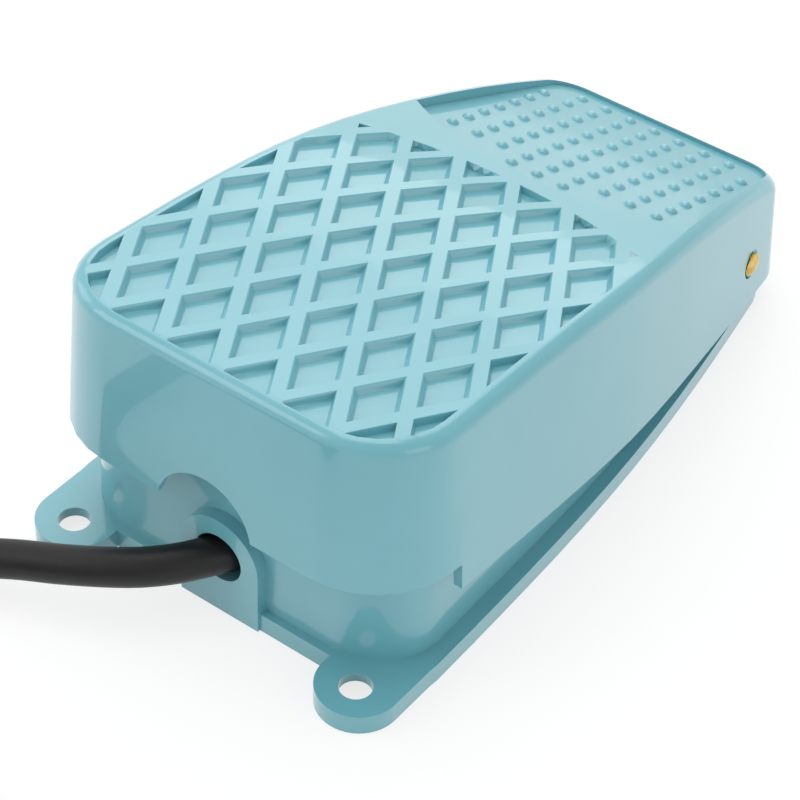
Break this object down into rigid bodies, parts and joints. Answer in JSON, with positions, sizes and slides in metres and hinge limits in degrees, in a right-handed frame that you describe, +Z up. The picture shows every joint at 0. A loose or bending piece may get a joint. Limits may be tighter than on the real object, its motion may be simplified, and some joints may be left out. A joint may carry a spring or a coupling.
{
  "type": "industrial foot switch",
  "caption": "Die-cast pedal with a diamond tread and a studded heel, hinged over a low base with two bolt ears; it works a snap-action switch fed by a free cable.",
  "frame": {"origin": "bottom centre of the foot switch without its cable, on the surface it stands on", "axes": "+Y from the toe, where the cable leaves, to the hinged heel; +X to the right seen from the toe; +Z up"},
  "size_m": [0.1212, 0.3614, 0.0697],
  "materials": {
    "green_paint": "gloss",
    "brass_plate": "satin",
    "zinc_steel": "satin",
    "spring_steel": "satin",
    "brown_bakelite": "satin",
    "red_plunger": "gloss",
    "black_pvc": "satin",
    "nylon_tie": "satin",
    "brown_core": "satin",
    "blue_core": "satin",
    "earth_core": "satin",
    "tinned_core": "satin"
  },
  "bodies": {
    "base_body": {"base": "green_paint", "hinge_pin": "brass_plate", "retaining_rings": "spring_steel", "return_spring": "spring_steel", "switch_case": "brown_bakelite", "switch_cover": "brown_bakelite", "terminal_common": "brass_plate", "terminal_no": "brass_plate", "terminal_nc": "brass_plate", "terminal_screws": "brass_plate", "switch_bracket": "zinc_steel", "switch_screws": "zinc_steel", "switch_nuts": "zinc_steel", "bracket_screws": "zinc_steel", "cable_clamp": "zinc_steel", "clamp_screws": "zinc_steel", "cable": "black_pvc", "cable_coil": "black_pvc", "coil_tie": "nylon_tie", "cable_tail": "black_pvc", "cable_end": "tinned_core", "wire_live": "brown_core", "wire_load": "blue_core", "wire_earth": "earth_core", "earth_ring": "brass_plate", "earth_screw": "brass_plate"},
    "pedal_body": {"pedal": "green_paint", "adjusting_screw": "zinc_steel", "lock_nut": "zinc_steel"},
    "plunger_body": {"switch_plunger": "red_plunger"}
  },
  "joints": [
    {"name": "pedal_hinge", "type": "hinge", "parent": "base_body", "child": "pedal_body", "pos_m": [0, 0.07089, 0.0195], "axis": [1, 0, 0], "range_deg": [0, 5], "stiffness_Nm_per_rad": 25, "springref_deg": -5.73, "deforming": ["return_spring"]},
    {"name": "plunger_slide", "type": "slide", "parent": "base_body", "child": "plunger_body", "axis": [0, 0, -1], "range_m": [0, 0.0029]}
  ],
  "couplings": [
    {"joint": "plunger_slide", "follows": "pedal_hinge", "m_per_rad": 0.0326}
  ]
}
